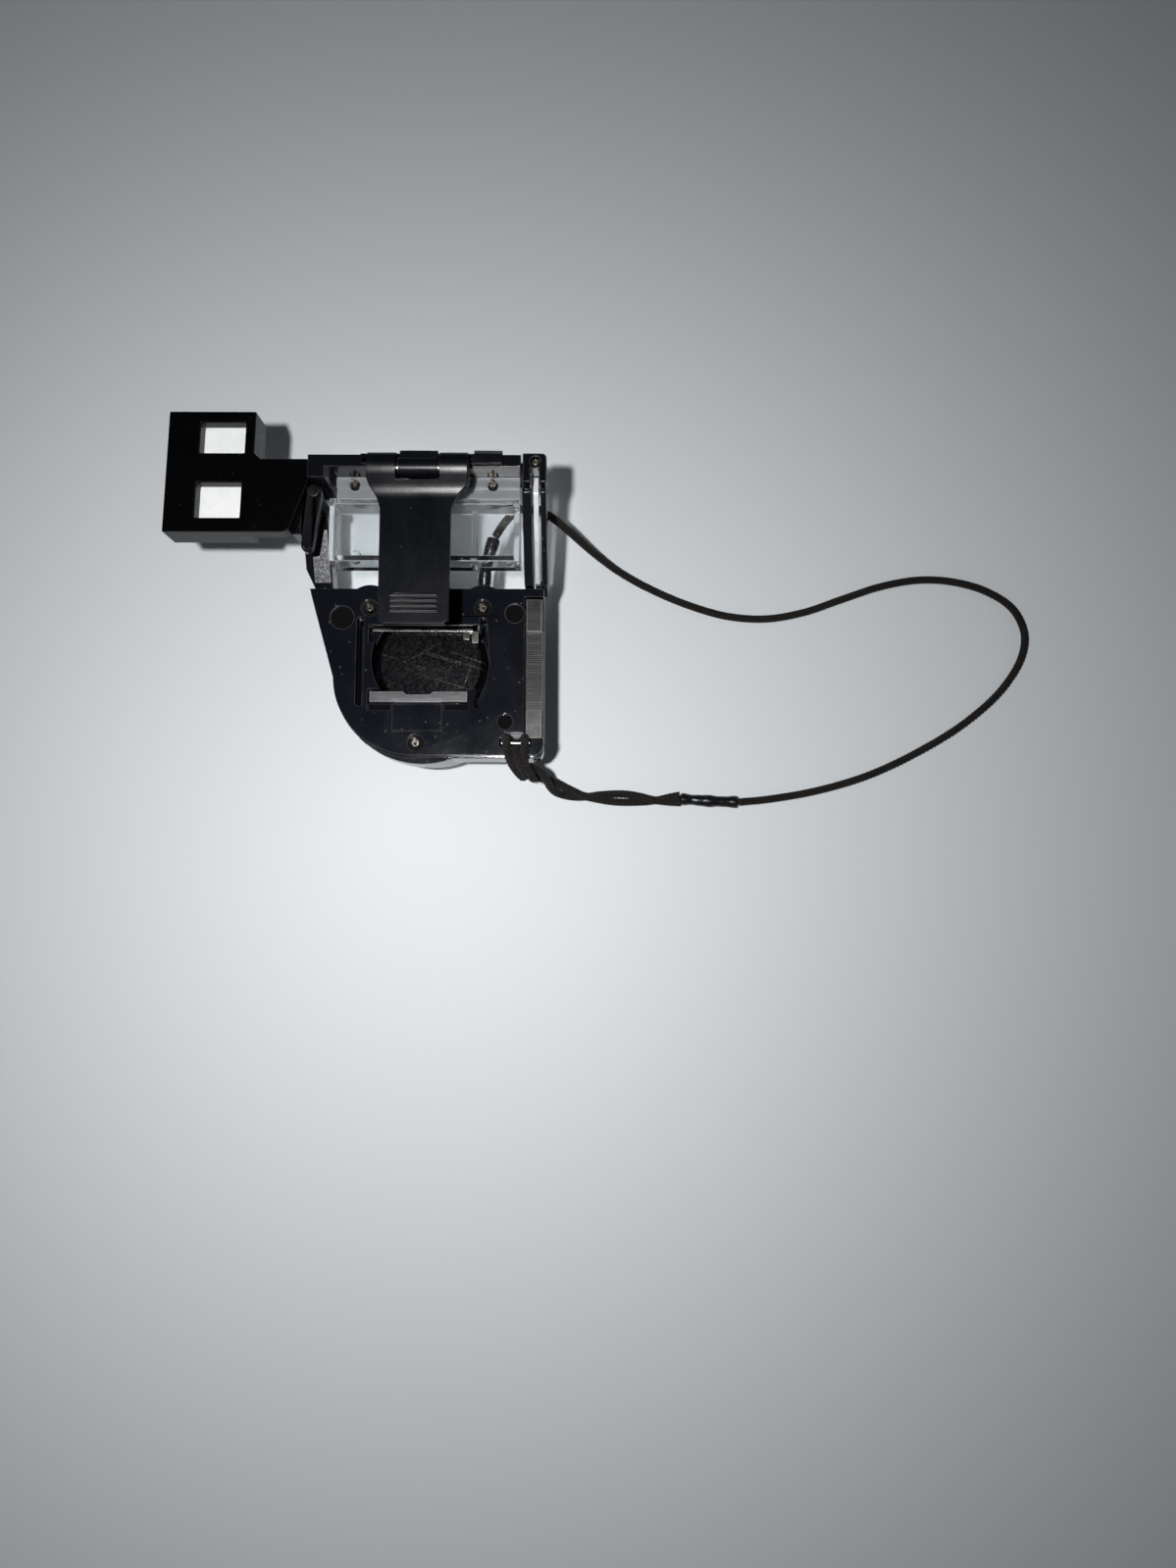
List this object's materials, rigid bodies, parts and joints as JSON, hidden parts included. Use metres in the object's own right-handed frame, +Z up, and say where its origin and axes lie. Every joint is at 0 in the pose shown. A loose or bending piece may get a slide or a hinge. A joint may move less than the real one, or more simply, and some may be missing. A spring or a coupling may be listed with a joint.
{
  "type": "motion sensor",
  "caption": "Clip-on motion sensor seen from behind: round front drum, coin-cell back, open frame with clear tray, sprung belt clip, side wing and a looped lanyard cord.",
  "frame": {"origin": "bottom centre of the sensor's box without its cord, on the surface that the round front stands on", "axes": "+Z up out of the back cover; +X from the side wing towards the metal side strip; +Y from the drum towards the clip's hinge"},
  "size_m": [0.1645, 0.0665, 0.0437],
  "materials": {
    "case_black": "satin moulded",
    "drum_gloss": "polished moulded",
    "wing_black": "dead matte",
    "clip_metal": "black satin paint, worn at the edges",
    "steel": "plain plated",
    "strip_metal": "dusty brushed",
    "cell_steel": "scratched",
    "screw_steel": "darkened",
    "bar_grey": "satin",
    "clear_plastic": "clear moulded, lightly scratched",
    "window_white": "milky diffuser",
    "lens_white": "milky translucent",
    "board_green": "solder mask",
    "cord_braid": "tight braid",
    "shrink_tube": "satin heat-shrink"
  },
  "bodies": {
    "housing": {"front_bezel": "case_black", "fresnel_lens": "lens_white", "drum_barrel": "drum_gloss", "circuit_board": "board_green", "sensor_can": "cell_steel", "front_case": "case_black", "back_cover": "case_black", "coin_cell": "cell_steel", "battery_contact_upper": "steel", "battery_contact_lower": "steel", "battery_bar": "bar_grey", "cover_screw_left": "screw_steel", "cover_screw_right": "screw_steel", "cover_screw_bottom": "screw_steel", "side_strip": "strip_metal", "lanyard_bar": "steel", "window_frame": "case_black", "side_rail": "case_black", "guide_strip": "steel", "corner_cap": "case_black", "corner_pin": "steel", "clear_tray": "clear_plastic", "tray_screw_left": "screw_steel", "tray_screw_right": "screw_steel", "clip_bracket": "clip_metal", "clip_spring": "steel", "side_wing": "wing_black", "wing_window_upper": "window_white", "wing_window_lower": "window_white", "lever_pin": "steel", "latch_plate": "steel", "lanyard_cord": "cord_braid", "exit_sleeve": "shrink_tube", "splice_sleeve": "shrink_tube", "tether_pair": "cord_braid", "tether_knot": "cord_braid"},
    "clip": {"belt_clip": "clip_metal", "clip_pin": "steel"},
    "lever": {"latch_lever": "case_black"}
  },
  "joints": [
    {"name": "clip_hinge", "type": "hinge", "parent": "housing", "child": "clip", "pos_m": [0.01162, 0.01815, 0.0412], "axis": [-1, 0, 0], "range_deg": [0, 30], "stiffness_Nm_per_rad": 0.02, "springref_deg": -8.59},
    {"name": "lever_pivot", "type": "hinge", "parent": "housing", "child": "lever", "pos_m": [-0.00723, 0.01565, 0.0352], "axis": [0, 0, 1], "range_deg": [0, 9], "stiffness_Nm_per_rad": 0.001, "springref_deg": -5.73}
  ]
}
